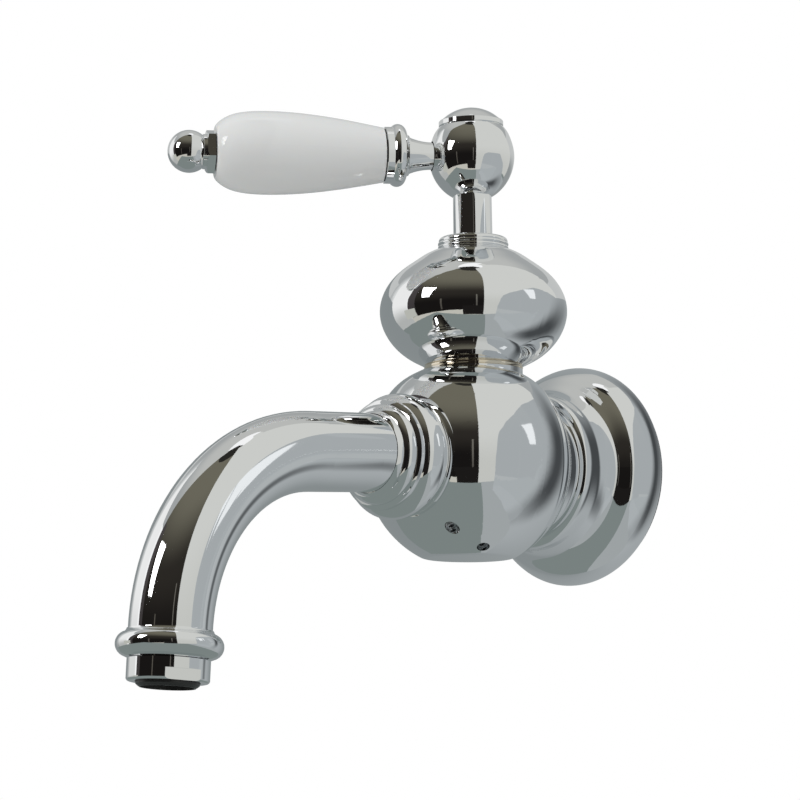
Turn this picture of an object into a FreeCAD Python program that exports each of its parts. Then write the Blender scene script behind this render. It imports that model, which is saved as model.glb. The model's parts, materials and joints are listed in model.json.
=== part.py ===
import FreeCAD, Part
import os
from math import asin, cos, radians, sin, sqrt, tan

# Wall-mounted single-lever basin mixer, in millimetres.
# +Z is up, the wall is the plane Y = 0 and the tap stands out along -Y.
# The origin is the centre of the wall plate's back face.
# "Reach" below always means the distance from the wall.

# Fits
screw_fit = 0.05            # radial play of screwed and slipped joints inside one body
running_fit = 0.06          # radial play of turning and sliding joints
flat_gap = 0.30             # free space between faces that move past each other
disc_film = 0.05            # water film between the two ceramic discs
ring_squeeze = 0.02         # play left round a seated sealing ring

# Wall plate
plate_radius = 35.2         # widest circle of the round rim
plate_belly_reach = 4.9     # its distance from the wall
plate_foot_radius = 33.3    # where the rim tucks in at the wall
plate_neck_radius = 24.8
plate_lip_round = 3.0       # roundness of the lip against the body
plate_wall = 2.0
gasket_thickness = 0.8
gasket_width = 3.0

# Supply shank, fixed to the wall
shank_radius = 14.0
shank_depth_in_body = 9.0   # how far it enters the body
inlet_port_radius = 5.0     # M10 x 1 ports for the two supply hoses
inlet_port_depth = 12.0
inlet_spacing = 14.0
inlet_height = 2.0
stud_hole_radius = 4.0      # M8 hole for the fixing stud
stud_hole_depth = 14.0
stud_hole_drop = 8.2
inlet_way_radius = 2.3      # drilled waterways
outlet_way_radius = 2.6

# Body
body_reach = 55.5
body_radius = 32.3
body_half_height = 33.0
body_base_share = 0.903     # the flat underside lies at this share of the half height
body_base_round = 5.0
body_front_reach = 82.0     # flat face that carries the spout collar
body_back_reach = 27.7      # flat face that meets the wall plate
back_boss_radius = 21.9     # round boss between the body and the plate
dome_setback = 2.8          # dome axis is this much nearer the wall than the body's centre
boss_radius = 15.4
boss_top_share = 0.897      # the dome's boss ends at this share of the half height

# Spout collar, in front of the body
spout_drop = 0.8            # spout axis lies this much under the body's centre
collar_rim_radius = 17.9
collar_rim_length = 1.4
collar_bead_radius = 19.3
collar_bead_crest = 5.2         # crest of the big bead from the rim
collar_bead_length = 10.1
collar_step_radius = 16.8       # narrow land in front of the big bead
collar_step_length = 1.4
collar_chamfer_length = 0.7
collar_second_bead_radius = 15.4
collar_second_bead_length = 3.2
collar_nose_radius = 13.1       # front edge of the second bead
collar_end_length = 1.6

# Spout
tube_radius = 12.0
tube_wall = 1.7
spigot_length = 20.0        # length of the spout inside the body
spout_knee_reach = 103.0
spout_knee_radius = 80.0
spout_slope = 4.25          # degrees below level
spout_corner_reach = 178.5
spout_bend_radius = 59.2
outlet_lean = 3.3           # degrees off plumb, outwards
outlet_straight = 3.0       # straight tube after the bend
spout_ring_section = 1.2
spout_ring_depths = (15.0, 11.0)    # two sealing rings, behind the body's front face

# Outlet
nozzle_length = 8.0
nozzle_bead_radius = 15.45
nozzle_socket_depth = 3.2
aerator_thread_radius = 11.0
aerator_thread_length = 3.6
aerator_radius = 11.9
aerator_skirt_length = 6.8
aerator_chamfer = 0.9
aerator_wall = 2.0
aerator_flat = 10.6         # axis to wrench flat
aerator_flat_length = 3.3
aerator_turn = 20.0         # degrees, turn of the wrench flats
insert_radius = 9.1
insert_drop = 1.5           # the black insert stands below the housing by this
insert_wall = 1.3
insert_grid_pitch = 3.0
insert_grid_bar = 0.7
screen_thickness = 0.6

# Grub screws that hold the spout
grub_radius = 1.8
grub_socket = 1.8           # across the flats
grub_socket_depth = 2.0
grub_turn = 28.7            # degrees from straight down towards +X
grub_depths = (6.1, 17.0)   # the two screws, behind the body's front face
grub_sink = (0.8, 2.6)      # depth of each screw below the body's skin
grub_hole_radius = 1.95

# Waist ring and dome
waist_radius = 15.5
waist_height = 1.4
waist_bulge = 0.4
dome_radius = 29.4
dome_height = 36.85
dome_foot_radius = 15.7
dome_belly_height = 16.4    # widest circle, above the foot
dome_top_radius = 11.2
dome_wall = 1.5

# Valve housing inside the dome
valve_shank_radius = 13.0
valve_shank_length = 8.6    # length screwed into the body
valve_cup_radius = 19.6
valve_cup_bore = 17.6
valve_flare_foot = 1.6      # start of the flare above the dome's foot
valve_floor = 7.5           # cup floor above the dome's foot
valve_cup_top = 29.6        # cup rim above the dome's foot

# Cartridge, stacked upwards from the cup floor
port_offset_side = 6.4      # hot and cold ports, from the outlet port on the dome axis
port_offset_front = 5.6
base_thickness = 3.0
seal_height = 1.5
seal_width = 1.3
fixed_disc_thickness = 3.5
moving_disc_thickness = 2.95
moving_disc_radius = 13.0
moving_disc_pocket_radius = 6.0     # joins the ports to the outlet once the disc has moved
moving_disc_pocket_depth = 1.6
carrier_height = 5.4
carrier_radius = 11.0
carrier_half_width = 9.3
shell_wall = 1.9
shell_top_wall = 2.0
rotor_flange = 3.2
rotor_neck_radius = 9.0
rotor_rail_width = 3.0
rotor_rail_half_length = 8.0
nut_thread_length = 2.0
nut_lip = 1.4
nut_neck_wall = 1.9
nut_height = 5.4

# Dome collar
dome_collar_sleeve_radius = 10.5
dome_collar_sleeve_depth = 6.2
dome_collar_radius = 11.1
dome_collar_bead = 1.15     # height of each small bead
dome_collar_groove = 0.3    # depth between the beads
dome_collar_height = 3.8
dome_collar_mouth = 7.5
dome_collar_lip = 1.9       # thickness of the lip over the rotor

# Lever: turn, lean and pivot
lever_turn = 37.5           # degrees from straight ahead towards -X, as in the photograph
lever_lean = 0.85           # degrees that the stem leans towards the grip when shut
lift_angle = 12.0           # degrees from shut to full flow
pivot_below_dome_top = 0.5
pin_radius = 1.2
spindle_radius = 3.5
blade_half_width = 2.6
blade_half_thickness = 2.5
tip_radius = 2.4
tip_neck_radius = 1.5
tip_above_carrier_foot = 3.0
blade_above_carrier = 0.9
rotor_above_pivot = 2.0
rod_above_pivot = 3.1
slot_half_length = 6.4
slot_side_gap = 0.1

# Stem and ball
stem_radius = 6.15
stem_start_above_pivot = 3.6
ball_height_above_pivot = 30.4
ball_radius = 13.5
ball_half_height = 14.4
ball_seat_radius = 6.35
ball_bore = 7.2
ball_floor = 7.5            # ball's inner floor below its centre
ball_mouth_radius = 10.0
cap_radius = 10.2
cap_band = 1.8
cap_rise = 4.2
cap_shoulder = 0.6
cap_plug_depth = 4.0
clamp_screw_radius = 2.0
clamp_head_radius = 5.2
clamp_head_height = 3.2
clamp_screw_depth = 8.0
clamp_travel = 0.5          # the spindle ends this far below the clamp screw's seat

# Lever arm and grip, measured outwards from the stem axis
arm_root = 11.8
arm_root_radius = 4.3
arm_neck_radius = 3.2
arm_neck_depth = 4.0
seat_ring_radius = 4.65
seat_ring_start = 9.6
seat_ring_length = 1.3
arm_end = 20.4
arm_end_radius = 5.95
grip_collar_bead_radius = 9.9
grip_collar_bead_reach = 3.4    # crest of the bead from the collar's start
grip_collar_cup_radius = 8.95
grip_collar_cup_length = 2.3
grip_collar_length = 7.7
grip_length = 53.1
grip_foot_radius = 8.75
grip_belly_radius = 13.08
grip_belly_place = 37.6     # widest circle from the grip's foot
grip_end_radius = 8.2
grip_bore = 3.2
grip_washer = 0.3
rod_radius = 2.5
hex_flats = 12.5
hex_length = 2.5
hex_turn = -20.4            # degrees, turn of the nut's corners from level
finial_neck_radius = 5.5
finial_neck_length = 1.1
finial_radius = 6.7
finial_ball_rise = 4.25     # ball's centre beyond the neck

# Worked-out places
dome_axis_reach = body_reach - dome_setback
body_base_drop = body_base_share * body_half_height
boss_top = boss_top_share * body_half_height
spigot_reach = body_front_reach - spigot_length
spout_ring_reaches = [body_front_reach - depth for depth in spout_ring_depths]
grub_reaches = [body_front_reach - depth for depth in grub_depths]
tube_bore = tube_radius - tube_wall
shank_front = body_back_reach + shank_depth_in_body
waist_foot = boss_top
dome_foot = waist_foot + waist_height
dome_top = dome_foot + dome_height
cup_floor = dome_foot + valve_floor
base_top = cup_floor + base_thickness
fixed_disc_top = base_top + fixed_disc_thickness
moving_disc_foot = fixed_disc_top + disc_film
carrier_foot = moving_disc_foot + moving_disc_thickness
carrier_top = carrier_foot + carrier_height
rotor_foot = carrier_top + flat_gap
rotor_flange_top = rotor_foot + rotor_flange
shell_ceiling = rotor_flange_top + flat_gap
shell_top = shell_ceiling + shell_top_wall
shell_radius = valve_cup_bore - 2 * screw_fit
shell_bore = shell_radius - shell_wall
pivot_height = dome_top - pivot_below_dome_top
tip_height = carrier_foot + tip_above_carrier_foot
tip_arm = pivot_height - tip_height
tip_shut = tip_arm * sin(radians(lever_lean))
disc_travel = tip_shut + tip_arm * sin(radians(lift_angle - lever_lean))
rotor_top = pivot_height + rotor_above_pivot
ball_height = pivot_height + ball_height_above_pivot
grip_start = arm_end + grip_collar_length
grip_end = grip_start + grip_washer + grip_length
finial_foot = grip_end + grip_washer + hex_length
finial_reach = finial_foot + finial_neck_length + finial_ball_rise


def vec(x, y, z):
    return FreeCAD.Vector(x, y, z)


X_AXIS = vec(1, 0, 0)
Z_AXIS = vec(0, 0, 1)
ORIGIN = vec(0, 0, 0)


def at(point):
    """A profile point (radius, height) in the drawing plane."""
    return vec(point[0], 0, point[1])


def turned(start, *steps):
    """A solid of revolution about Z. A step is a point, ("arc", middle, end)
    or ("curve", points, first tangent, last tangent); the outline closes itself."""
    edges = []
    here = start
    for step in steps + (start,):
        if step[0] == "arc":
            edges.append(Part.Arc(at(here), at(step[1]), at(step[2])).toShape())
            here = step[2]
        elif step[0] == "curve":
            spline = Part.BSplineCurve()
            places = [at(here)] + [at(point) for point in step[1]]
            if len(step) > 2:
                spline.interpolate(Points=places, InitialTangent=at(step[2]), FinalTangent=at(step[3]))
            else:
                spline.interpolate(Points=places)
            edges.append(spline.toShape())
            here = step[1][-1]
        else:
            if at(here).distanceToPoint(at(step)) > 1e-6:
                edges.append(Part.makeLine(at(here), at(step)))
            here = step
    return Part.Face(Part.Wire(edges)).revolve(ORIGIN, Z_AXIS, 360)


def ring(inner, outer, low, high):
    """A plain sleeve about Z."""
    return turned((inner, low), (outer, low), (outer, high), (inner, high))


def rod(radius, low, high):
    return Part.makeCylinder(radius, high - low, vec(0, 0, low))


def seal(radius, section, height):
    """A round sealing ring about Z; radius is that of its section's centre."""
    return Part.makeTorus(radius, section, vec(0, 0, height))


def from_wall(shape, height=0.0):
    """Turns a shape made along Z to stand out from the wall along -Y."""
    shape.rotate(ORIGIN, X_AXIS, 90)
    shape.translate(vec(0, 0, height))
    return shape


def on_dome(shape):
    """Moves a shape made about Z to the dome axis."""
    shape.translate(vec(0, -dome_axis_reach, 0))
    return shape


def laid(shape, place, direction):
    """Lays a shape made along Z from the origin along a direction at a place."""
    target = FreeCAD.Placement(place, FreeCAD.Rotation(Z_AXIS, direction))
    shape.Placement = target.multiply(shape.Placement)
    return shape


def with_lever(shape):
    """Leans and turns a shape that was made for a lever pointing along -Y."""
    shape.rotate(vec(0, 0, pivot_height), X_AXIS, lever_lean)
    return with_rotor(shape)


def with_rotor(shape):
    """Turns a shape with the lever, about the dome axis."""
    shape.rotate(ORIGIN, Z_AXIS, -lever_turn)
    return on_dome(shape)


def along_lever(shape):
    """Lays a shape made along Z, measured from the stem axis, along the lever."""
    return with_lever(from_wall(shape, ball_height))


def hexagon(flats, low, high):
    corner = flats / 2 / cos(radians(30))
    points = [vec(corner * cos(radians(60 * k)), corner * sin(radians(60 * k)), low) for k in range(7)]
    return Part.Face(Part.makePolygon(points)).extrude(vec(0, 0, high - low))


def one(shape):
    """The single solid of a finished cut or union."""
    clean = shape.removeSplitter()
    solids = clean.Solids
    return solids[0] if len(solids) == 1 else clean


os.makedirs("parts", exist_ok=True)
saved = []


def save(name, shape):
    shape.exportStep("parts/" + name + ".step")
    saved.append((name, len(shape.Solids), shape.Volume, shape.isValid()))


# Wall plate and supply

def wall_gasket():
    outer = plate_foot_radius - 0.3
    return from_wall(ring(outer - gasket_width, outer, 0, gasket_thickness))


def wall_plate():
    """Bell-shaped shell: a round lip at the body, a waisted flare and a full rim."""
    lip_foot = body_back_reach - plate_lip_round
    spread = plate_radius - plate_neck_radius
    fall = lip_foot - plate_belly_reach
    flare = [(plate_neck_radius + out * spread, lip_foot - down * fall)
             for out, down in ((0.03, 0.22), (0.137, 0.369), (0.333, 0.49),
                               (0.598, 0.596), (0.833, 0.763), (0.961, 0.9), (1, 1))]
    lip_middle = (plate_neck_radius - plate_lip_round * (1 - cos(radians(45))),
                  lip_foot + plate_lip_round * sin(radians(45)))
    tuck = plate_radius - plate_foot_radius
    bore = shank_radius + screw_fit
    hollow = plate_neck_radius - plate_wall
    ceiling = body_back_reach - plate_wall
    floor = gasket_thickness + 0.8
    return from_wall(turned(
        (bore, ceiling), (hollow, ceiling), (hollow, flare[1][1]),
        (flare[3][0] - plate_wall, flare[3][1] - plate_wall),
        (plate_foot_radius - plate_wall, plate_belly_reach),
        (plate_foot_radius - plate_wall, floor),
        (plate_foot_radius - gasket_width, floor),
        (plate_foot_radius - gasket_width, gasket_thickness),
        (plate_foot_radius, gasket_thickness),
        ("arc", (plate_radius - 0.25 * tuck, (plate_belly_reach + gasket_thickness) / 2 - 0.1),
         (plate_radius, plate_belly_reach)),
        ("curve", flare[-2::-1] + [(plate_neck_radius, lip_foot)], (0, 1), (0, 1)),
        ("arc", lip_middle, (plate_neck_radius - plate_lip_round, body_back_reach)),
        (bore, body_back_reach)))


def supply_shank():
    """Brass shank with both supply ports and the fixing-stud hole."""
    shape = rod(shank_radius, 0, shank_front)
    for side in (-1, 1):
        port = vec(side * inlet_spacing / 2, inlet_height, 0)
        shape = shape.cut(Part.makeCylinder(inlet_port_radius, inlet_port_depth, port))
        way = vec(side * port_offset_side, inlet_height, 0)
        shape = shape.cut(Part.makeCylinder(inlet_way_radius, shank_front, way))
        seat = way + vec(0, 0, shank_front - seal_height)
        shape = shape.cut(Part.makeCylinder(inlet_way_radius + seal_width, seal_height, seat))
    shape = shape.cut(Part.makeCylinder(stud_hole_radius, stud_hole_depth, vec(0, -stud_hole_drop, 0)))
    groove_place = shank_front - shank_depth_in_body / 2
    groove = ring(shank_radius - 1.6, shank_radius + 1, groove_place - 0.9, groove_place + 0.9)
    return from_wall(one(shape.cut(groove)))


def shank_o_ring():
    section = 0.8
    place = shank_front - shank_depth_in_body / 2
    return from_wall(seal(shank_radius - section, section - ring_squeeze, place))


def shank_port_seals():
    """One face seal round each waterway, between shank and body."""
    seals = []
    for side in (-1, 1):
        one_seal = ring(inlet_way_radius, inlet_way_radius + seal_width - ring_squeeze,
                        shank_front - seal_height, shank_front)
        one_seal.translate(vec(side * port_offset_side, inlet_height, 0))
        seals.append(from_wall(one_seal))
    return Part.makeCompound(seals)


# Body

def body_casting():
    """Round brass body with bores for the shank, the spout and the valve."""
    half = sqrt(1 - body_base_share ** 2) * body_radius
    side = [(body_radius * cos(radians(angle)), body_half_height * sin(radians(angle)))
            for angle in (-50, -35, -18, 0, 18, 36, 54, 72, 90)]
    leaving = (body_base_share * body_radius, half / body_radius * body_half_height)
    profile = turned((0, -body_base_drop), (half, -body_base_drop), ("curve", side, leaving, (-1, 0)))
    profile = profile.makeFillet(body_base_round, [edge for edge in profile.Edges
                                                  if abs(edge.BoundBox.ZMax + body_base_drop) < 1e-4
                                                  and edge.BoundBox.XLength > half])
    profile.translate(vec(0, -body_reach, 0))
    top_trim = Part.makeCylinder(2 * body_radius, body_half_height, vec(0, -body_reach, boss_top - 0.6))
    shape = profile.cut(top_trim)
    shape = shape.fuse(on_dome(rod(boss_radius, 0, boss_top)))
    shape = shape.fuse(from_wall(rod(back_boss_radius, body_back_reach, body_reach)))
    shape = shape.fuse(from_wall(rod(collar_rim_radius, body_reach, body_front_reach), -spout_drop))
    front = Part.makeBox(4 * body_radius, body_radius, 4 * body_radius,
                         vec(-2 * body_radius, -body_front_reach - body_radius, -2 * body_radius))
    back = Part.makeBox(4 * body_radius, body_radius, 4 * body_radius,
                        vec(-2 * body_radius, -body_back_reach, -2 * body_radius))
    shape = shape.cut(front).cut(back)
    valve_foot = boss_top - valve_shank_length
    shape = shape.cut(on_dome(rod(valve_shank_radius + screw_fit, valve_foot, boss_top + 1)))
    shape = shape.cut(from_wall(rod(shank_radius + screw_fit, 0, shank_front)))
    spigot = rod(tube_radius + screw_fit, spigot_reach, body_front_reach + 1)
    shape = shape.cut(from_wall(spigot, -spout_drop))
    outlet = vec(0, -dome_axis_reach, -spout_drop)
    shape = shape.cut(Part.makeCylinder(outlet_way_radius, valve_foot + 1 + spout_drop, outlet))
    run = spigot_reach - dome_axis_reach + 1
    shape = shape.cut(Part.makeCylinder(outlet_way_radius, run, outlet, vec(0, -1, 0)))
    shape = shape.cut(Part.makeSphere(outlet_way_radius, outlet))
    inlet_reach = dome_axis_reach + port_offset_front
    for side in (-1, 1):
        elbow = vec(side * port_offset_side, -inlet_reach, inlet_height)
        run = inlet_reach - shank_front + 1
        shape = shape.cut(Part.makeCylinder(inlet_way_radius, valve_foot + 1 - inlet_height, elbow))
        shape = shape.cut(Part.makeCylinder(inlet_way_radius, run, elbow, vec(0, 1, 0)))
        shape = shape.cut(Part.makeSphere(inlet_way_radius, elbow))
    for reach in grub_reaches:
        start = vec(0, -reach, -spout_drop)
        shape = shape.cut(Part.makeCylinder(grub_hole_radius, 2 * body_radius, start, grub_direction()))
    return one(shape)


def grub_direction():
    return vec(sin(radians(grub_turn)), 0, -cos(radians(grub_turn)))


def grub_skin(reach):
    """Distance from the spout axis to the body's skin along a grub screw."""
    slice_factor = sqrt(1 - min(abs(reach - body_reach) / body_radius, 0.8) ** 2)
    a = sin(radians(grub_turn)) / (body_radius * slice_factor)
    b = cos(radians(grub_turn)) / (body_half_height * slice_factor)
    full = 1 / sqrt(a * a + b * b)
    flat = (body_base_drop - spout_drop) / cos(radians(grub_turn))
    return min(full - spout_drop * cos(radians(grub_turn)), flat)


def spout_grub_screws():
    """Two hex-socket grub screws that press on the spout's spigot."""
    screws = []
    direction = grub_direction()
    for reach, sink in zip(grub_reaches, grub_sink):
        outer_end = grub_skin(reach) - sink
        length = outer_end - tube_radius - screw_fit
        shape = Part.makeCylinder(grub_radius, length)
        shape = shape.makeChamfer(0.4, [edge for edge in shape.Edges if edge.BoundBox.ZMax < 1e-4])
        shape = shape.cut(hexagon(grub_socket, length - grub_socket_depth, length + 1))
        shape.translate(vec(0, 0, tube_radius + screw_fit))
        screws.append(laid(shape, vec(0, -reach, -spout_drop), direction))
    return Part.makeCompound(screws)


# Spout

def spout_collar():
    """Collar that closes the body round the spout: a big bead, a second one and a nose,
    each rounded over in front and meeting the next at a sharp inner corner."""
    bore = tube_radius + screw_fit
    rim = body_front_reach + collar_rim_length
    crest = rim + collar_bead_crest
    step = rim + collar_bead_length
    edge = step + collar_step_length
    second = edge + collar_chamfer_length
    nose = second + collar_second_bead_length
    end = nose + collar_end_length
    foot = collar_rim_radius - 0.3
    rise = collar_bead_radius - foot
    fall = collar_bead_radius - collar_step_radius
    drop = collar_step_radius - collar_second_bead_radius
    second_fall = collar_second_bead_radius - collar_nose_radius
    lip = tube_radius + 0.15
    return from_wall(turned(
        (bore, body_front_reach), (collar_rim_radius, body_front_reach), (collar_rim_radius, rim - 0.3),
        (foot, rim),
        ("arc", (foot + 0.75 * rise, (rim + crest) / 2), (collar_bead_radius, crest)),
        ("arc", (collar_step_radius + 0.62 * fall, crest + 0.69 * (step - crest)),
         (collar_step_radius, step)),
        (collar_step_radius, edge),
        ("arc", (collar_second_bead_radius + 0.52 * drop, edge + 0.56 * collar_chamfer_length),
         (collar_second_bead_radius, second)),
        ("arc", (collar_nose_radius + 0.76 * second_fall, second + 0.58 * collar_second_bead_length),
         (collar_nose_radius, nose)),
        ("arc", (lip + 0.58 * (collar_nose_radius - lip), (nose + end) / 2), (lip, end)),
        (bore, end)), -spout_drop)


def spout_path(start, end_extra):
    """Centre line of the spout as a wire, from a reach to past the bend."""
    slope = radians(spout_slope)
    lean = radians(outlet_lean)
    knee = vec(0, -spout_knee_reach, -spout_drop)
    run = spout_corner_reach - spout_knee_reach
    corner = vec(0, -spout_corner_reach, -spout_drop - run * tan(slope))
    level = vec(0, -1, 0)
    sloped = vec(0, -cos(slope), -sin(slope))
    falling = vec(0, -sin(lean), -cos(lean))
    knee_cut = spout_knee_radius * tan(slope / 2)
    bend = radians(90) - slope - lean
    bend_cut = spout_bend_radius * tan(bend / 2)
    knee_middle = knee + (level * -1 + sloped) * (1 / (level * -1 + sloped).Length) * (
        spout_knee_radius / cos(slope / 2) - spout_knee_radius)
    bend_middle = corner + (sloped * -1 + falling) * (1 / (sloped * -1 + falling).Length) * (
        spout_bend_radius / cos(bend / 2) - spout_bend_radius)
    points = [vec(0, -start, -spout_drop), knee - level * knee_cut, knee_middle, knee + sloped * knee_cut,
              corner - sloped * bend_cut, bend_middle, corner + falling * bend_cut,
              corner + falling * (bend_cut + end_extra)]
    edges = [Part.makeLine(points[0], points[1]), Part.Arc(points[1], points[2], points[3]).toShape(),
             Part.makeLine(points[3], points[4]), Part.Arc(points[4], points[5], points[6]).toShape()]
    if end_extra > 0:
        edges.append(Part.makeLine(points[6], points[7]))
    return Part.Wire(edges), points[6], falling


def swept(radius, start, end_extra):
    path, tangent_point, direction = spout_path(start, end_extra)
    circle = Part.Wire(Part.makeCircle(radius, vec(0, -start, -spout_drop), vec(0, -1, 0)))
    return path.makePipeShell([circle], True, True)


def spout_tube():
    """Bent tube with a straight spigot, its bore open from end to end."""
    outer = swept(tube_radius, spigot_reach, outlet_straight)
    inner = swept(tube_bore, spigot_reach, outlet_straight)
    shape = outer.cut(inner)
    for reach in spout_ring_reaches:
        groove = ring(tube_radius - spout_ring_section * 0.75, tube_radius + 1,
                      reach - spout_ring_section * 0.8, reach + spout_ring_section * 0.8)
        shape = shape.cut(from_wall(groove, -spout_drop))
    return one(shape)


def spout_o_rings():
    section = spout_ring_section * 0.75 / 2
    rings = [from_wall(seal(tube_radius - section, section - ring_squeeze, reach), -spout_drop)
             for reach in spout_ring_reaches]
    return Part.makeCompound(rings)


def at_outlet(shape):
    """Places a shape made downwards along +Z from the end of the spout's bend."""
    path, tangent_point, direction = spout_path(spigot_reach, 0)
    return laid(shape, tangent_point, direction)


def spout_nozzle():
    """Round bead soldered on the end of the tube, threaded for the aerator."""
    socket = tube_radius + screw_fit
    thread = aerator_thread_radius + screw_fit
    lead = 0.8
    return at_outlet(turned(
        (socket, 0), (tube_radius + 0.35, 0),
        ("arc", (tube_radius + 0.75, 0.75), (tube_radius + 1.55, 1.2)),
        ("arc", (nozzle_bead_radius, nozzle_length * 0.55), (tube_radius + 1.6, nozzle_length - 0.5)),
        (tube_radius + 0.4, nozzle_length), (thread + lead, nozzle_length), (thread, nozzle_length - lead),
        (thread, nozzle_socket_depth + 0.8), (tube_bore, nozzle_socket_depth + 0.8),
        (tube_bore, outlet_straight), (socket, outlet_straight)))


def aerator_housing():
    """Chrome housing with an outside thread, a skirt and two wrench flats."""
    top = nozzle_length - aerator_thread_length + 0.6
    end = nozzle_length + aerator_skirt_length
    bore = aerator_thread_radius - aerator_wall
    shape = turned(
        (bore, top), (aerator_thread_radius, top), (aerator_thread_radius, nozzle_length + 0.2),
        (aerator_radius - 0.3, nozzle_length + 0.2), (aerator_radius, nozzle_length + 0.5),
        (aerator_radius, end - aerator_chamfer),
        ("arc", (aerator_radius - 0.27 * aerator_chamfer, end - 0.27 * aerator_chamfer),
         (aerator_radius - aerator_chamfer, end)),
        (insert_radius + 0.25, end), (insert_radius + 0.25, end - 2.2), (bore, end - 2.2))
    wide = 2 * aerator_radius
    for side in (0, 180):
        corner = vec(aerator_flat, -wide / 2, end - aerator_flat_length)
        slab = Part.makeBox(aerator_radius, wide, aerator_flat_length + 1, corner)
        slab.rotate(ORIGIN, Z_AXIS, side)
        shape = shape.cut(slab)
    shape.rotate(ORIGIN, Z_AXIS, aerator_turn)
    return at_outlet(one(shape))


def aerator_insert():
    """Black outlet insert, a sleeve with a square grid across it."""
    end = nozzle_length + aerator_skirt_length
    bore = aerator_thread_radius - aerator_wall - 0.05
    low = end + insert_drop
    shape = turned((bore - insert_wall, nozzle_length - 1), (bore, nozzle_length - 1), (bore, end - 2.2),
                   (insert_radius, end - 2.2), (insert_radius, end + 0.7), (insert_radius - 0.6, end + 1.2),
                   (insert_radius - 0.6, low - 0.5), (insert_radius - 1.0, low), (bore - insert_wall, low))
    inner = bore - insert_wall
    count = int(inner // insert_grid_pitch)
    bars = []
    for step in range(-count, count + 1):
        offset = step * insert_grid_pitch
        for turn in (0, 90):
            corner = vec(-bore, offset - insert_grid_bar / 2, low - 5.0)
            bar = Part.makeBox(2 * bore, insert_grid_bar, 4.0, corner)
            bar.rotate(ORIGIN, Z_AXIS, turn)
            bars.append(bar)
    limit = rod(inner + insert_wall / 2, low - 6, low)
    grid = bars[0].multiFuse(bars[1:]).common(limit)
    return at_outlet(one(shape.fuse(grid)))


def aerator_screen():
    """Steel screen disc above the insert."""
    bore = aerator_thread_radius - aerator_wall - 0.05
    high = nozzle_length - 1 - screen_thickness
    plate = rod(bore - 0.1, high, nozzle_length - 1)
    pitch = 3.2
    holes = []
    for row in range(-2, 3):
        for column in range(-2, 3):
            if sqrt(row * row + column * column) * pitch < bore - 2.2:
                holes.append(Part.makeCylinder(1.0, 3, vec(row * pitch, column * pitch, high - 1)))
    return at_outlet(plate.cut(holes[0].multiFuse(holes[1:])))


def aerator_washer():
    top = nozzle_length - aerator_thread_length + 0.6
    low = nozzle_socket_depth + 0.8
    return at_outlet(ring(tube_bore - 1.2, aerator_thread_radius - 0.1, low, top))


# Waist, dome and valve housing

def waist_ring():
    """Thin ring between body and dome."""
    low, high = waist_foot, dome_foot
    return on_dome(turned(
        (valve_shank_radius + screw_fit, low), (waist_radius - waist_bulge, low),
        ("arc", (waist_radius, (low + high) / 2), (waist_radius - waist_bulge, high)),
        (valve_shank_radius + screw_fit, high)))


def dome_outline():
    """Points of the dome's outside, from foot to top, as (radius, height)."""
    belly = dome_foot + dome_belly_height
    lower = dome_radius - dome_foot_radius
    upper = dome_radius - dome_top_radius
    rise = dome_top - belly
    drop = dome_belly_height
    return [(dome_foot_radius, dome_foot), (dome_foot_radius + 0.31 * lower, belly - 0.866 * drop),
            (dome_foot_radius + 0.74 * lower, belly - 0.549 * drop), (dome_radius, belly),
            (dome_top_radius + 0.74 * upper, belly + 0.565 * rise),
            (dome_top_radius + 0.372 * upper, belly + 0.82 * rise), (dome_top_radius, dome_top)]


def spline_through(points, first, last):
    spline = Part.BSplineCurve()
    places = [at(point) for point in points]
    spline.interpolate(Points=places, InitialTangent=at(first), FinalTangent=at(last))
    return spline


def inset_points(spline, depth, count):
    """Points of a profile moved inwards, towards the axis side, by a wall."""
    points = []
    for step in range(count + 1):
        u = spline.FirstParameter + (spline.LastParameter - spline.FirstParameter) * step / count
        here = spline.value(u)
        along = spline.tangent(u)[0]
        points.append((here.x - along.z * depth, here.z + along.x * depth))
    return points


def dome_cover():
    """Spun brass onion dome, a thin shell open at foot and top."""
    first, last = (1.0, 0.5), (-1.0, 0.4)
    outside = spline_through(dome_outline(), first, last)
    inner = inset_points(outside, dome_wall, 24)
    foot_in = (dome_foot_radius - dome_wall, dome_foot)
    top_in = (dome_collar_sleeve_radius + screw_fit, dome_top)
    inner = [point for point in inner if dome_foot + 0.8 < point[1] < dome_top - 1.15 * dome_wall]
    edges = [outside.toShape(), Part.makeLine(at((dome_top_radius, dome_top)), at(top_in))]
    edges.append(Part.makeLine(at(top_in), at((top_in[0], inner[-1][1]))))
    if abs(inner[-1][0] - top_in[0]) > 1e-4:
        edges.append(Part.makeLine(at((top_in[0], inner[-1][1])), at(inner[-1])))
    inside = Part.BSplineCurve()
    inside.interpolate(Points=[at(point) for point in inner])
    edges.append(inside.toShape())
    edges.append(Part.makeLine(at(inner[0]), at((foot_in[0], inner[0][1]))))
    edges.append(Part.makeLine(at((foot_in[0], inner[0][1])), at(foot_in)))
    edges.append(Part.makeLine(at(foot_in), at((dome_foot_radius, dome_foot))))
    face = Part.Face(Part.Wire(Part.__sortEdges__(edges)))
    return on_dome(face.revolve(ORIGIN, Z_AXIS, 360))


def ports():
    """Hot, cold and outlet ports about the dome axis, as (x, y, radius)."""
    return [(-port_offset_side, -port_offset_front, inlet_way_radius),
            (port_offset_side, -port_offset_front, inlet_way_radius),
            (0, 0, outlet_way_radius)]


def drilled(shape, wider, low, high):
    """Cuts the three ports through a shape, each wider than its waterway."""
    for x, y, radius in ports():
        shape = shape.cut(Part.makeCylinder(radius + wider, high - low, vec(x, y, low)))
    return shape


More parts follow.
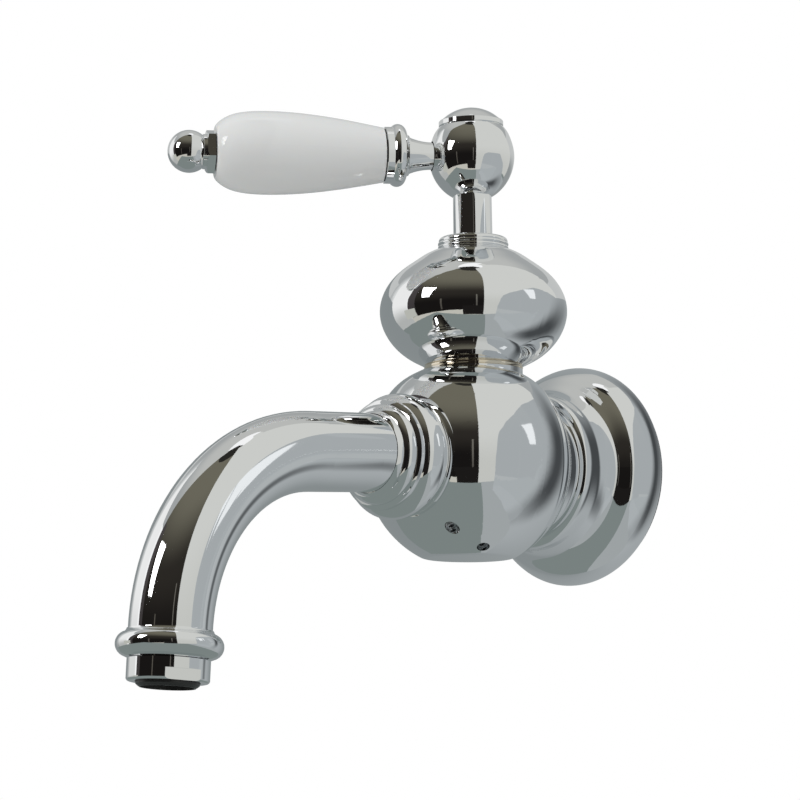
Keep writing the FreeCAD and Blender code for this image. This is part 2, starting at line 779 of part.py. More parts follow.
def valve_housing():
    """Brass cup that holds the cartridge, screwed into the body's top."""
    foot = boss_top - valve_shank_length
    flare = dome_foot + valve_flare_foot
    rim = dome_foot + valve_cup_top
    slope_top = flare + (valve_cup_radius - valve_shank_radius) * 0.52
    shape = turned((0, foot), (valve_shank_radius, foot), (valve_shank_radius, flare),
                   (valve_cup_radius, slope_top), (valve_cup_radius, rim - 0.6),
                   (valve_cup_radius - 0.6, rim), (valve_cup_bore, rim), (valve_cup_bore, cup_floor),
                   (0, cup_floor))
    shape = drilled(shape, 0, foot - 1, cup_floor + 1)
    groove = ring(valve_shank_radius - 1.2, valve_shank_radius + 1, foot + 2.0, foot + 3.6)
    return on_dome(one(shape.cut(groove)))


def valve_o_ring():
    section = 0.6
    place = boss_top - valve_shank_length + 2.8
    return on_dome(seal(valve_shank_radius - section, section - ring_squeeze, place))


def cartridge_base():
    shape = rod(shell_radius, cup_floor, base_top)
    shape = drilled(shape, 0, cup_floor - 1, base_top + 1)
    return on_dome(one(drilled(shape, seal_width, cup_floor, cup_floor + seal_height)))


def cartridge_seals():
    seals = []
    for x, y, radius in ports():
        one_seal = ring(radius, radius + seal_width - ring_squeeze, cup_floor, cup_floor + seal_height)
        one_seal.translate(vec(x, y, 0))
        seals.append(on_dome(one_seal))
    return Part.makeCompound(seals)


def fixed_disc():
    shape = rod(shell_bore - running_fit, base_top, fixed_disc_top)
    return on_dome(one(drilled(shape, 0, base_top - 1, fixed_disc_top + 1)))


def moving_disc():
    """Ceramic disc; shut, it lies half its travel behind the dome axis."""
    shape = rod(moving_disc_radius, moving_disc_foot, carrier_foot)
    ceiling = moving_disc_foot + moving_disc_pocket_depth
    shape = shape.cut(rod(moving_disc_pocket_radius, moving_disc_foot - 1, ceiling))
    shape.translate(vec(0, disc_travel / 2, 0))
    return with_rotor(shape)


def disc_carrier():
    """Plastic carrier that the spindle's tip pushes to and fro."""
    shape = rod(carrier_radius, carrier_foot, carrier_top)
    shape.translate(vec(0, disc_travel / 2, 0))
    keep = Part.makeBox(2 * carrier_half_width, 4 * carrier_radius, carrier_height,
                        vec(-carrier_half_width, -2 * carrier_radius, carrier_foot))
    shape = shape.common(keep)
    socket = Part.makeCylinder(tip_radius + running_fit, carrier_height,
                               vec(0, tip_shut, tip_height - tip_radius - flat_gap))
    return with_rotor(one(shape.cut(socket)))


def cartridge_shell():
    shape = turned((shell_bore, base_top), (shell_radius, base_top), (shell_radius, shell_top),
                   (rotor_neck_radius + flat_gap, shell_top), (rotor_neck_radius + flat_gap, shell_ceiling),
                   (shell_bore, shell_ceiling))
    return on_dome(shape)


def cartridge_rotor():
    """Rotor that turns with the lever and carries the pivot pin."""
    flange = shell_bore - flat_gap
    shape = turned((0, rotor_foot), (flange, rotor_foot), (flange, rotor_flange_top),
                   (rotor_neck_radius, rotor_flange_top), (rotor_neck_radius, rotor_top - 0.4),
                   (rotor_neck_radius - 0.4, rotor_top), (0, rotor_top))
    for side in (-1, 1):
        inner = carrier_half_width + flat_gap
        start = inner if side > 0 else -inner - rotor_rail_width
        rail = Part.makeBox(rotor_rail_width, 2 * rotor_rail_half_length, carrier_height,
                            vec(start, -rotor_rail_half_length, rotor_foot - carrier_height))
        shape = shape.fuse(rail)
    half = blade_half_thickness + slot_side_gap
    slot = Part.makeBox(2 * half, 2 * slot_half_length, rotor_top - rotor_foot + 2,
                        vec(-half, -slot_half_length, rotor_foot - 1))
    shape = shape.cut(slot)
    start = vec(-2 * rotor_neck_radius, 0, pivot_height)
    pin_hole = Part.makeCylinder(pin_radius, 4 * rotor_neck_radius, start, X_AXIS)
    return with_rotor(one(shape.cut(pin_hole)))


def pivot_pin():
    half = rotor_neck_radius - 0.35
    return with_rotor(Part.makeCylinder(pin_radius, 2 * half, vec(-half, 0, pivot_height), X_AXIS))


def cartridge_nut():
    """Ring nut that clamps the cartridge and takes the dome collar's thread."""
    outer = valve_cup_bore - screw_fit
    bore = dome_collar_sleeve_radius + screw_fit
    top = shell_top + nut_height
    lip = rotor_neck_radius + flat_gap
    step = shell_top + nut_thread_length
    return on_dome(turned((lip, shell_top), (outer, shell_top), (outer, step), (bore + nut_neck_wall, step),
                          (bore + nut_neck_wall, top), (bore, top), (bore, shell_top + nut_lip),
                          (lip, shell_top + nut_lip)))


def dome_collar():
    """Beaded collar that screws through the dome's top; the stem stands in its mouth."""
    foot = dome_top
    sleeve_foot = foot - dome_collar_sleeve_depth
    bore = rotor_neck_radius + running_fit
    top = foot + dome_collar_height
    first = foot + dome_collar_bead
    second = first + dome_collar_bead
    groove = dome_collar_radius - dome_collar_groove
    mouth = dome_collar_mouth
    return on_dome(turned(
        (bore, sleeve_foot), (dome_collar_sleeve_radius, sleeve_foot),
        (dome_collar_sleeve_radius, foot), (groove, foot),
        ("arc", (dome_collar_radius, foot + dome_collar_bead / 2), (groove, first)),
        ("arc", (dome_collar_radius, first + dome_collar_bead / 2), (groove, second)),
        ("arc", (dome_collar_radius - 0.45, second + 1.0), (dome_collar_radius - 1.7, top)),
        (mouth + 0.3, top), (mouth, top - 0.3), (mouth, top - dome_collar_lip),
        (bore, top - dome_collar_lip)))


# Lever

def spindle():
    """Steel spindle: rod above the pivot, blade below it and a round tip."""
    rod_foot = pivot_height + rod_above_pivot
    rod_top = ball_height - ball_floor - clamp_travel
    shape = rod(spindle_radius, rod_foot, rod_top)
    blade_foot = carrier_top + blade_above_carrier
    blade = Part.makeBox(2 * blade_half_thickness, 2 * blade_half_width, rod_foot - blade_foot,
                         vec(-blade_half_thickness, -blade_half_width, blade_foot))
    neck = rod(tip_neck_radius, tip_height, blade_foot + 0.5)
    shape = shape.multiFuse([blade, neck, Part.makeSphere(tip_radius, vec(0, 0, tip_height))])
    start = vec(-3 * pin_radius, 0, pivot_height)
    shape = shape.cut(Part.makeCylinder(pin_radius + running_fit, 6 * pin_radius, start, X_AXIS))
    shape = shape.cut(rod(clamp_screw_radius, rod_top - clamp_screw_depth, rod_top + 1))
    return with_lever(one(shape))


def ball_foot():
    """Height of the flat under the ball, where the stem sleeve ends."""
    return ball_height - ball_half_height * sqrt(1 - (ball_seat_radius / ball_radius) ** 2)


def stem_sleeve():
    start = pivot_height + stem_start_above_pivot
    return with_lever(turned(
        (spindle_radius, start), (stem_radius - 0.4, start), (stem_radius, start + 0.4),
        (stem_radius - 0.05, ball_foot()), (spindle_radius, ball_foot())))


def ball_mouth():
    """Height of the flat on top of the ball, where the cap sits."""
    return ball_height + ball_half_height * sqrt(1 - (ball_mouth_radius / ball_radius) ** 2)


def handle_ball():
    """Hollow ball on the stem, bored for the clamp screw and the lever arm."""
    first = asin((ball_foot() - ball_height) / ball_half_height)
    last = asin((ball_mouth() - ball_height) / ball_half_height)
    steps = 6
    angles = [first + (last - first) * k / steps for k in range(1, steps + 1)]
    side = [(ball_radius * cos(a), ball_height + ball_half_height * sin(a)) for a in angles]
    leaving, arriving = [(-ball_radius * sin(a), ball_half_height * cos(a)) for a in (first, last)]
    floor = ball_height - ball_floor
    shape = turned((spindle_radius, ball_foot()), (ball_seat_radius, ball_foot()),
                   ("curve", side, leaving, arriving),
                   (ball_bore, ball_mouth()), (ball_bore, floor), (spindle_radius, floor))
    hole = from_wall(rod(arm_neck_radius, ball_bore - 1, 2 * ball_radius), ball_height)
    seat = from_wall(rod(seat_ring_radius + screw_fit, seat_ring_start, 2 * ball_radius), ball_height)
    return with_lever(one(shape.cut(hole).cut(seat)))


def ball_cap():
    """Screw-on cap with a plain band and a low dome."""
    low = ball_mouth()
    band = low + cap_band
    top = band + cap_rise
    plug = ball_bore - screw_fit
    inner = plug - 1.8
    crown = cap_radius - cap_shoulder
    sphere = (crown * crown + cap_rise * cap_rise) / (2 * cap_rise)
    half = asin(crown / sphere) / 2
    middle = (sphere * sin(half), top - sphere * (1 - cos(half)))
    return with_lever(turned(
        (0, top), ("arc", middle, (crown, band)), (cap_radius - 0.25, band), (cap_radius, band - 0.25),
        (cap_radius, low + 0.2), (cap_radius - 0.2, low), (plug, low), (plug, low - cap_plug_depth),
        (inner, low - cap_plug_depth), (inner, low + 0.6), (0, low + 0.6)))


def clamp_screw():
    """Socket screw inside the ball that holds it on the spindle."""
    seat = ball_height - ball_floor
    top = seat + clamp_head_height
    shape = turned((0, seat - clamp_screw_depth), (clamp_screw_radius, seat - clamp_screw_depth),
                   (clamp_screw_radius, seat), (clamp_head_radius, seat), (clamp_head_radius, top - 0.4),
                   (clamp_head_radius - 0.4, top), (0, top))
    return with_lever(one(shape.cut(hexagon(3.0, top - 1.8, top + 1))))


def arm_seat_ring():
    """Small ring on the ball round the lever arm's neck."""
    end = seat_ring_start + seat_ring_length
    return along_lever(turned(
        (arm_neck_radius, seat_ring_start), (seat_ring_radius, seat_ring_start),
        (seat_ring_radius, end - 0.4), (seat_ring_radius - 0.4, end), (arm_neck_radius, end - 0.3)))


def lever_arm():
    """Bell-shaped chrome arm from the ball to the grip's collar."""
    length = arm_end - arm_root
    spread = arm_end_radius - arm_root_radius
    return along_lever(turned(
        (0, arm_root - arm_neck_depth), (arm_neck_radius, arm_root - arm_neck_depth),
        (arm_neck_radius, arm_root), (arm_root_radius - 0.3, arm_root), (arm_root_radius, arm_root + 0.3),
        ("curve", [(arm_root_radius + 0.18 * spread, arm_root + 0.49 * length),
                   (arm_root_radius + 0.55 * spread, arm_root + 0.78 * length),
                   (arm_end_radius, arm_end)], (0.0, 1.0), (0.5, 1.0)),
        (rod_radius, arm_end), (rod_radius, arm_root + 2), (0, arm_root + 2)))


def grip_collar():
    """Chrome collar with a bead and a cup for the porcelain."""
    end = grip_start
    crest = arm_end + grip_collar_bead_reach
    cup = end - grip_collar_cup_length
    bore = rod_radius + screw_fit
    foot = arm_end_radius + 0.45
    return along_lever(turned(
        (bore, arm_end), (foot, arm_end),
        ("arc", (foot + 0.45, arm_end + 0.75), (foot + 1.5, arm_end + 1.05)),
        ("arc", (grip_collar_bead_radius, crest), (grip_collar_cup_radius + 0.2, cup - 0.1)),
        (grip_collar_cup_radius, cup), (grip_collar_cup_radius, end - 0.2),
        (grip_collar_cup_radius - 0.2, end), (bore, end)))


def grip_washers():
    """Thin cushions at both ends of the porcelain."""
    first = grip_start
    last = grip_end
    inner = rod_radius + screw_fit
    pair = [ring(inner, grip_foot_radius - 0.6, first, first + grip_washer),
            ring(inner, hex_flats / 2 - 0.4, last, last + grip_washer)]
    return Part.makeCompound([along_lever(washer) for washer in pair])


def porcelain_grip():
    """White glazed grip, fullest near its free end."""
    foot = grip_start + grip_washer
    end = grip_end
    belly = foot + grip_belly_place
    spread = grip_belly_radius - grip_foot_radius
    rest = grip_length - grip_belly_place
    tip = grip_belly_radius - grip_end_radius
    return along_lever(turned(
        (grip_bore, foot), (grip_foot_radius - 0.4, foot),
        ("arc", (grip_foot_radius - 0.1, foot + 0.12), (grip_foot_radius, foot + 0.5)),
        ("curve", [(grip_foot_radius + 0.42 * spread, foot + 0.28 * grip_belly_place),
                   (grip_foot_radius + 0.78 * spread, foot + 0.57 * grip_belly_place),
                   (grip_belly_radius, belly),
                   (grip_belly_radius - 0.13 * tip, belly + 0.51 * rest),
                   (grip_belly_radius - 0.53 * tip, belly + 0.845 * rest),
                   (grip_end_radius, end)], (0.18, 1), (-1.0, 0.45)),
        (grip_bore, end)))


def tie_rod():
    """Stud through the grip, from the arm to the finial."""
    return along_lever(rod(rod_radius, arm_root + 2, finial_reach - 2))


def hex_nut():
    start = grip_end + grip_washer
    end = finial_foot
    shape = hexagon(hex_flats, start, end)
    corner = hex_flats / 2 / cos(radians(30))
    trim = turned((0, start), (corner, start), (corner, end - 0.4), (corner - 0.7, end), (0, end))
    shape = one(shape.common(trim).cut(rod(rod_radius, start - 1, end + 1)))
    shape.rotate(ORIGIN, Z_AXIS, hex_turn)
    return along_lever(shape)


def ball_finial():
    """Ball finial on a short plain neck, threaded on the tie rod."""
    shoulder = finial_foot + finial_neck_length
    meet = sqrt(finial_radius ** 2 - finial_ball_rise ** 2)
    shape = turned((0, finial_foot), (finial_neck_radius, finial_foot),
                   (finial_neck_radius, shoulder - 0.1), (meet, shoulder),
                   ("arc", (finial_radius, finial_reach), (0, finial_reach + finial_radius)))
    return along_lever(one(shape.cut(rod(rod_radius, finial_foot - 1, finial_reach - 2))))


parts = [wall_gasket, wall_plate, supply_shank, shank_o_ring, shank_port_seals, body_casting,
         spout_grub_screws, spout_collar, spout_tube, spout_o_rings, spout_nozzle, aerator_housing,
         aerator_insert, aerator_screen, aerator_washer, waist_ring, dome_cover, valve_housing,
         valve_o_ring, cartridge_base, cartridge_seals,
         fixed_disc, moving_disc, disc_carrier, cartridge_shell, cartridge_rotor, pivot_pin, cartridge_nut,
         dome_collar, spindle, stem_sleeve, handle_ball, ball_cap, clamp_screw, arm_seat_ring, lever_arm,
         grip_collar, grip_washers, porcelain_grip, tie_rod, hex_nut, ball_finial]

for make in parts:
    save(make.__name__, make())

for name, solids, volume, valid in saved:
    print("%-20s solids %d  volume %10.1f  valid %s" % (name, solids, volume, valid))
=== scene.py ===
import json
from math import cos, radians, sin

import bpy
from mathutils import Matrix, Vector

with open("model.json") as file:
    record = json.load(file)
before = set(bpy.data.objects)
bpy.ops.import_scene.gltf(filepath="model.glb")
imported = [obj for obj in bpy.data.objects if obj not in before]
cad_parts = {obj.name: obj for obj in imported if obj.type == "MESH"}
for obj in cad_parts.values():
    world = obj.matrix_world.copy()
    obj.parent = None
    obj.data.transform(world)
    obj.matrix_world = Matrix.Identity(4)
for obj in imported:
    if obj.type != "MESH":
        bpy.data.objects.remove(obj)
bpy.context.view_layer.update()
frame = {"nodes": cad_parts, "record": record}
nodes = frame["nodes"]
MM = 0.001


# Camera: the photograph's place, aim and lens

camera_place = Vector((0.69265, -0.82929, -0.12230))
camera_right = Vector((0.7313537, 0.68199836, 0.0))
camera_up = Vector((0.0925578, -0.09925609, 0.99074784))
camera_back = Vector((0.6756884, -0.7245871, -0.13571557))
sensor_width = 36.0
focal_length = 150.937
camera_data = bpy.data.cameras.new("camera")
camera_data.sensor_width = sensor_width
camera_data.lens = focal_length
camera_data.clip_start = 0.05
camera_data.clip_end = 50.0
camera = bpy.data.objects.new("camera", camera_data)
bpy.context.scene.collection.objects.link(camera)
turn = Matrix((camera_right, camera_up, camera_back)).transposed().to_4x4()
camera.matrix_world = Matrix.Translation(camera_place) @ turn
bpy.context.scene.camera = camera
bpy.context.scene.view_settings.view_transform = "Standard"


# Materials

def srgb(text):
    """A linear RGBA colour from an sRGB hex value."""
    out = []
    for i in (0, 2, 4):
        v = int(text[i:i + 2], 16) / 255
        out.append(v / 12.92 if v <= 0.04045 else ((v + 0.055) / 1.055) ** 2.4)
    return (*out, 1.0)


def node(tree, kind, settings=None, **links):
    """Adds a node; each further word is an input, by name or index, as a value or a socket to link."""
    n = tree.nodes.new(kind)
    for key, value in (settings or {}).items():
        setattr(n, key, value)
    for key, value in links.items():
        key = key.replace("_", " ")
        socket = n.inputs[int(key[1:])] if key[0] == "i" and key[1:].isdigit() else n.inputs[key]
        if isinstance(value, bpy.types.NodeSocket):
            tree.links.new(value, socket)
        else:
            socket.default_value = value
    return n


def new_material(name):
    m = bpy.data.materials.new(name)
    m.use_nodes = True
    m.node_tree.nodes.clear()
    return m, m.node_tree


def finish_material(tree, shader):
    out = tree.nodes.new("ShaderNodeOutputMaterial")
    tree.links.new(shader, out.inputs["Surface"])


def polished_chrome(name="polished_chrome_plate", tint="F2F3F4", wave=0.05):
    """Bright nickel-chrome plate over buffed brass: a clear mirror, faintly blue,
    whose image wavers a little where the buffing wheel followed the casting."""
    m, t = new_material(name)
    where = node(t, "ShaderNodeTexCoord").outputs["Object"]
    # long, very shallow buffing waves, about 9 mm apart
    waves = node(t, "ShaderNodeTexNoise", Vector=where, Scale=1 / (9 * MM), Detail=1.0, Roughness=0.4)
    bump = node(t, "ShaderNodeBump", Strength=wave, Distance=0.02 * MM, Height=waves.outputs["Fac"])
    # wiping marks in the gloss, a few millimetres across
    marks = node(t, "ShaderNodeTexNoise", Vector=where, Scale=1 / (4 * MM), Detail=4.0, Roughness=0.6)
    gloss = node(t, "ShaderNodeMapRange", Value=marks.outputs["Fac"],
                 From_Min=0.35, From_Max=0.75, To_Min=0.025, To_Max=0.05)
    shader = node(t, "ShaderNodeBsdfPrincipled", Metallic=1.0, Base_Color=srgb(tint),
                  Roughness=gloss.outputs["Result"], Normal=bump.outputs["Normal"])
    finish_material(t, shader.outputs["BSDF"])
    return m


def glazed_porcelain():
    """Fired white porcelain under a clear glaze: milky body, wet-looking surface, faint orange peel."""
    m, t = new_material("glazed_white_porcelain")
    where = node(t, "ShaderNodeTexCoord").outputs["Object"]
    # slight clouding of the body, about 12 mm across
    clouds = node(t, "ShaderNodeTexNoise", Vector=where, Scale=1 / (12 * MM), Detail=2.0, Roughness=0.5)
    colour = node(t, "ShaderNodeMix", {"data_type": "RGBA"}, Factor=clouds.outputs["Fac"])
    colour.inputs[6].default_value = srgb("F0F0EE")
    colour.inputs[7].default_value = srgb("ECEDEC")
    peel = node(t, "ShaderNodeTexNoise", Vector=where, Scale=1 / (2.5 * MM), Detail=1.0, Roughness=0.4)
    bump = node(t, "ShaderNodeBump", Strength=0.08, Distance=0.02 * MM, Height=peel.outputs["Fac"])
    shader = node(t, "ShaderNodeBsdfPrincipled", Base_Color=colour.outputs[2], Roughness=0.04, IOR=1.5,
                  Normal=bump.outputs["Normal"], Subsurface_Weight=0.15, Subsurface_Scale=1.5 * MM,
                  Subsurface_Radius=(1.0, 0.8, 0.6))
    finish_material(t, shader.outputs["BSDF"])
    return m


def machined_metal(name, tint, rough):
    """Turned bar stock: fine tool lines a third of a millimetre apart blur the mirror a little."""
    m, t = new_material(name)
    where = node(t, "ShaderNodeTexCoord").outputs["Object"]
    grain = node(t, "ShaderNodeTexNoise", Vector=where, Scale=1 / (0.9 * MM), Detail=3.0, Roughness=0.6)
    gloss = node(t, "ShaderNodeMapRange", Value=grain.outputs["Fac"],
                 From_Min=0.3, From_Max=0.7, To_Min=rough - 0.05, To_Max=rough + 0.07)
    bump = node(t, "ShaderNodeBump", Strength=0.25, Distance=0.02 * MM, Height=grain.outputs["Fac"])
    shader = node(t, "ShaderNodeBsdfPrincipled", Metallic=1.0, Base_Color=srgb(tint),
                  Roughness=gloss.outputs["Result"], Normal=bump.outputs["Normal"])
    finish_material(t, shader.outputs["BSDF"])
    return m


def moulded(name, light, dark, rough, grit):
    """Moulded plastic or rubber: an even colour with a fine satin grit, grit mm apart."""
    m, t = new_material(name)
    where = node(t, "ShaderNodeTexCoord").outputs["Object"]
    speck = node(t, "ShaderNodeTexNoise", Vector=where, Scale=1 / (grit * MM), Detail=3.0, Roughness=0.55)
    colour = node(t, "ShaderNodeMix", {"data_type": "RGBA"}, Factor=speck.outputs["Fac"])
    colour.inputs[6].default_value = srgb(dark)
    colour.inputs[7].default_value = srgb(light)
    gloss = node(t, "ShaderNodeMapRange", Value=speck.outputs["Fac"],
                 From_Min=0.3, From_Max=0.7, To_Min=rough - 0.06, To_Max=rough + 0.06)
    bump = node(t, "ShaderNodeBump", Strength=0.2, Distance=0.03 * MM, Height=speck.outputs["Fac"])
    shader = node(t, "ShaderNodeBsdfPrincipled", Base_Color=colour.outputs[2], IOR=1.5,
                  Roughness=gloss.outputs["Result"], Normal=bump.outputs["Normal"])
    finish_material(t, shader.outputs["BSDF"])
    return m


chrome = polished_chrome()
porcelain = glazed_porcelain()
brass = machined_metal("turned_brass", "D9B36A", 0.24)
steel = machined_metal("machined_stainless_steel", "C4C5C7", 0.22)
black_plastic = moulded("black_moulded_polyoxymethylene", "2B2B2A", "1F1F1E", 0.36, 0.6)
rubber = moulded("black_nitrile_rubber", "242423", "191918", 0.6, 0.5)
grey_plastic = moulded("grey_moulded_polyoxymethylene", "B9BCBD", "ABAEB0", 0.4, 0.6)
alumina = moulded("lapped_alumina_ceramic", "EDEAE2", "E4E1D9", 0.2, 0.4)
# the ring at the waist keeps a thin champagne tone under its polish
pale_brass = polished_chrome("polished_pale_brass", "EEE3CF", 0.03)
screw_steel = machined_metal("grub_screw_steel", "B4B6B8", 0.42)

finishes = {
    "chrome_plate": chrome,
    "porcelain_glaze": porcelain,
    "brass_metal": brass,
    "steel_metal": steel,
    "black_rubber": rubber,
    "black_plastic": black_plastic,
    "grey_plastic": grey_plastic,
    "alumina": alumina,
}
own_finishes = {"waist_ring": pale_brass, "spout_grub_screws": screw_steel}
slots = {s["node"]: s["material_slot"] for s in frame["record"]["subparts"]}
for name, obj in nodes.items():
    finish = own_finishes.get(name, finishes[slots[name]])
    if not obj.material_slots:
        obj.data.materials.append(finish)
    for slot in obj.material_slots:
        slot.material = finish


# The studio: floor, soft light and the cards that the polished metal mirrors

centre = Vector((0.0, -0.0527, 0.03))
toward = Vector((camera_back.x, camera_back.y, 0)).normalized()
rightward = camera_right

# distances from the tap and heights, in metres
room_far = 1.20
window_far = 1.15
rail_far = 1.10
strip_far = 0.90
stand_far = 0.85
right_paper_far = 0.80
left_far = 0.72
left_upper_far = 0.70
left_paper_far = 0.60
left_block_far = 0.58
lamp_far = 3.0
lamp_size = 2.25
floor_size = 6.0
table_z = -0.137
table_edge = 0.29
grey_paper_z = table_z + 0.002
floor_z = table_z - 0.004
dark_lift = 24

# the board's slanted shadow: its way across, its offset and its soft half-width
shadow_across = (0.939, 0.0, 0.345)
shadow_offset = 0.048
shadow_core = 0.003
shadow_edge = 0.031
sheen_from_x = 0.088
sheen_strength = 0.1


def direction(side_turn, lift):
    """The way out from the tap, turned to the camera's right by side_turn and lifted by lift, in degrees."""
    flat = toward * cos(radians(side_turn)) + rightward * sin(radians(side_turn))
    return flat * cos(radians(lift)) + Vector((0, 0, sin(radians(lift))))


def card_paint(name, low, high, z_low=-1.0, z_high=1.0, strength=1.0):
    """An even glowing card, shaded from low to high between two heights in metres."""
    m, t = new_material(name)
    where = node(t, "ShaderNodeTexCoord").outputs["Object"]
    split = node(t, "ShaderNodeSeparateXYZ", Vector=where)
    fade = node(t, "ShaderNodeMapRange", {"interpolation_type": "SMOOTHSTEP"}, Value=split.outputs["Z"],
                From_Min=z_low, From_Max=z_high)
    colour = node(t, "ShaderNodeMix", {"data_type": "RGBA"}, Factor=fade.outputs["Result"])
    colour.inputs[6].default_value = srgb(low)
    colour.inputs[7].default_value = srgb(high)
    glow = node(t, "ShaderNodeEmission", Color=colour.outputs[2], Strength=strength)
    finish_material(t, glow.outputs["Emission"])
    m.cycles.emission_sampling = "NONE"
    return m


def board_paint():
    """The satin grey board behind the tap, a glowing card: painted shade darkens it toward its left, a
    painted shadow of the tap falls down to the right, and a weak gloss on the right side shows the window."""
    m, t = new_material("grey_board_card")
    where = node(t, "ShaderNodeTexCoord").outputs["Object"]
    split = node(t, "ShaderNodeSeparateXYZ", Vector=where)
    across = node(t, "ShaderNodeVectorMath", {"operation": "DOT_PRODUCT"}, i0=where, i1=shadow_across)
    across = node(t, "ShaderNodeMath", {"operation": "SUBTRACT"}, i0=across.outputs["Value"],
                  i1=shadow_offset)
    across = node(t, "ShaderNodeMath", {"operation": "ABSOLUTE"}, i0=across.outputs[0])
    shade = node(t, "ShaderNodeMapRange", {"interpolation_type": "SMOOTHSTEP"}, Value=across.outputs[0],
                 From_Min=shadow_core, From_Max=shadow_edge, To_Min=1.0, To_Max=0.0)
    top_end = node(t, "ShaderNodeMapRange", {"interpolation_type": "SMOOTHSTEP"}, Value=split.outputs["Z"],
                   From_Min=0.08, From_Max=0.02)
    low_end = node(t, "ShaderNodeMapRange", {"interpolation_type": "SMOOTHSTEP"}, Value=split.outputs["Z"],
                   From_Min=-0.11, From_Max=-0.02, To_Min=0.25, To_Max=1.0)
    shade = node(t, "ShaderNodeMath", {"operation": "MULTIPLY"}, i0=shade.outputs[0], i1=top_end.outputs[0])
    shade = node(t, "ShaderNodeMath", {"operation": "MULTIPLY"}, i0=shade.outputs[0], i1=low_end.outputs[0])
    # painted shade: the board is darker toward its left and lighter toward its right
    side = node(t, "ShaderNodeMapRange", {"interpolation_type": "SMOOTHSTEP"}, Value=split.outputs["X"],
                From_Min=-0.08, From_Max=0.06)
    tone = node(t, "ShaderNodeMix", {"data_type": "RGBA"}, Factor=side.outputs["Result"])
    tone.inputs[6].default_value = srgb("8B9192")
    tone.inputs[7].default_value = srgb("AAAFB1")
    colour = node(t, "ShaderNodeMix", {"data_type": "RGBA"}, Factor=shade.outputs[0])
    t.links.new(tone.outputs[2], colour.inputs[6])
    colour.inputs[7].default_value = srgb("46494B")
    glow = node(t, "ShaderNodeEmission", Color=colour.outputs[2])
    right_side = node(t, "ShaderNodeMath", {"operation": "GREATER_THAN"}, i0=split.outputs["X"],
                      i1=sheen_from_x)
    sheen = node(t, "ShaderNodeMath", {"operation": "MULTIPLY"}, i0=right_side.outputs[0], i1=sheen_strength)
    gloss = node(t, "ShaderNodeBsdfGlossy", Color=sheen.outputs[0], Roughness=0.06)
    both = node(t, "ShaderNodeAddShader", i0=glow.outputs[0], i1=gloss.outputs[0])
    finish_material(t, both.outputs[0])
    m.cycles.emission_sampling = "NONE"
    return m


def mirror_only(obj):
    """A card that only polished surfaces see."""
    obj.visible_camera = False
    obj.visible_diffuse = False
    obj.visible_shadow = False
    obj.visible_volume_scatter = False
    return obj


def sheet_mesh(name, rows, paint, smooth=True):
    """A staged sheet through rows of points."""
    mesh = bpy.data.meshes.new(name)
    wide = len(rows[0])
    points = [p for row in rows for p in row]
    faces = []
    for j in range(len(rows) - 1):
        for i in range(wide - 1):
            a = j * wide + i
            faces.append((a, a + 1, a + 1 + wide, a + wide))
    mesh.from_pydata([tuple(p) for p in points], [], faces)
    mesh.materials.append(paint)
    obj = bpy.data.objects.new(name, mesh)
    bpy.context.scene.collection.objects.link(obj)
    for poly in mesh.polygons:
        poly.use_smooth = smooth
    return mirror_only(obj)


def patch(name, turns, lifts, far, paint, lean=(0, 0), last_top=None, steps=24):
    """A card that fills a window of directions seen from the tap, far metres away. Lean turns its
    first and last edges aside as they rise, and last_top is the lift of its top at the last turn."""
    rows = []
    for j in range(steps + 1):
        row = []
        for i in range(steps + 1):
            top = lifts[1] + ((last_top or lifts[1]) - lifts[1]) * i / steps
            lift = lifts[0] + (top - lifts[0]) * j / steps
            rise = (max(lift, 0) / 60) ** 2
            first = turns[0] + lean[0] * rise
            last = turns[1] + lean[1] * rise
            row.append(centre + direction(first + (last - first) * i / steps, lift) * far)
        rows.append(row)
    return sheet_mesh(name, rows, paint)


def height_at(lift, far):
    """The height of a point that is far metres away, at this lift in degrees."""
    return centre.z + far * sin(radians(lift))


def even_paint(name, tone):
    return card_paint(name, tone, tone)


def ground(forward, right, z=table_z):
    """A point on the table, forward metres toward the camera and right metres to its right."""
    return centre.xy.to_3d() + toward * forward + rightward * right + Vector((0, 0, z))


# the dark side of the room behind the camera, brown-grey above and black below
patch("dark_room_upper", (-88, 45), (dark_lift, 79), room_far,
      card_paint("dark_room_upper_card", "2D2A26", "6E6B5E",
                 height_at(dark_lift, room_far), height_at(62, room_far)))
patch("dark_room_lower", (-88, 45), (-25, dark_lift), room_far,
      card_paint("dark_room_lower_card", "181615", "2D2A26",
                 height_at(0, room_far), height_at(dark_lift, room_far)))
patch("overhead_dark", (-90, 60), (78, 89.9), rail_far, even_paint("overhead_card", "2A2926"))
window_corners = [[centre + direction(side_turn, lift) * window_far for side_turn in side_turns]
                  for side_turns, lift in (((-67, -57), 14.5), ((-72, -52), 35))]
sheet_mesh("window", window_corners, card_paint("window_card", "FFFFFF", "FFFFFF", strength=5.0))
patch("left_drape", (-88, -77), (-24, 40), window_far,
      card_paint("left_drape_card", "3B3738", "4A4646", -0.4, 0.8))
patch("ladder_rail", (-42, -39.5), (-18, 8), rail_far,
      card_paint("ladder_rail_card", "4E4A45", "5A564F", -0.3, 0.2))
patch("stand_rail", (2.5, 4.5), (-14, 17), rail_far,
      card_paint("stand_rail_card", "57544F", "6E6B64", -0.2, 0.3))

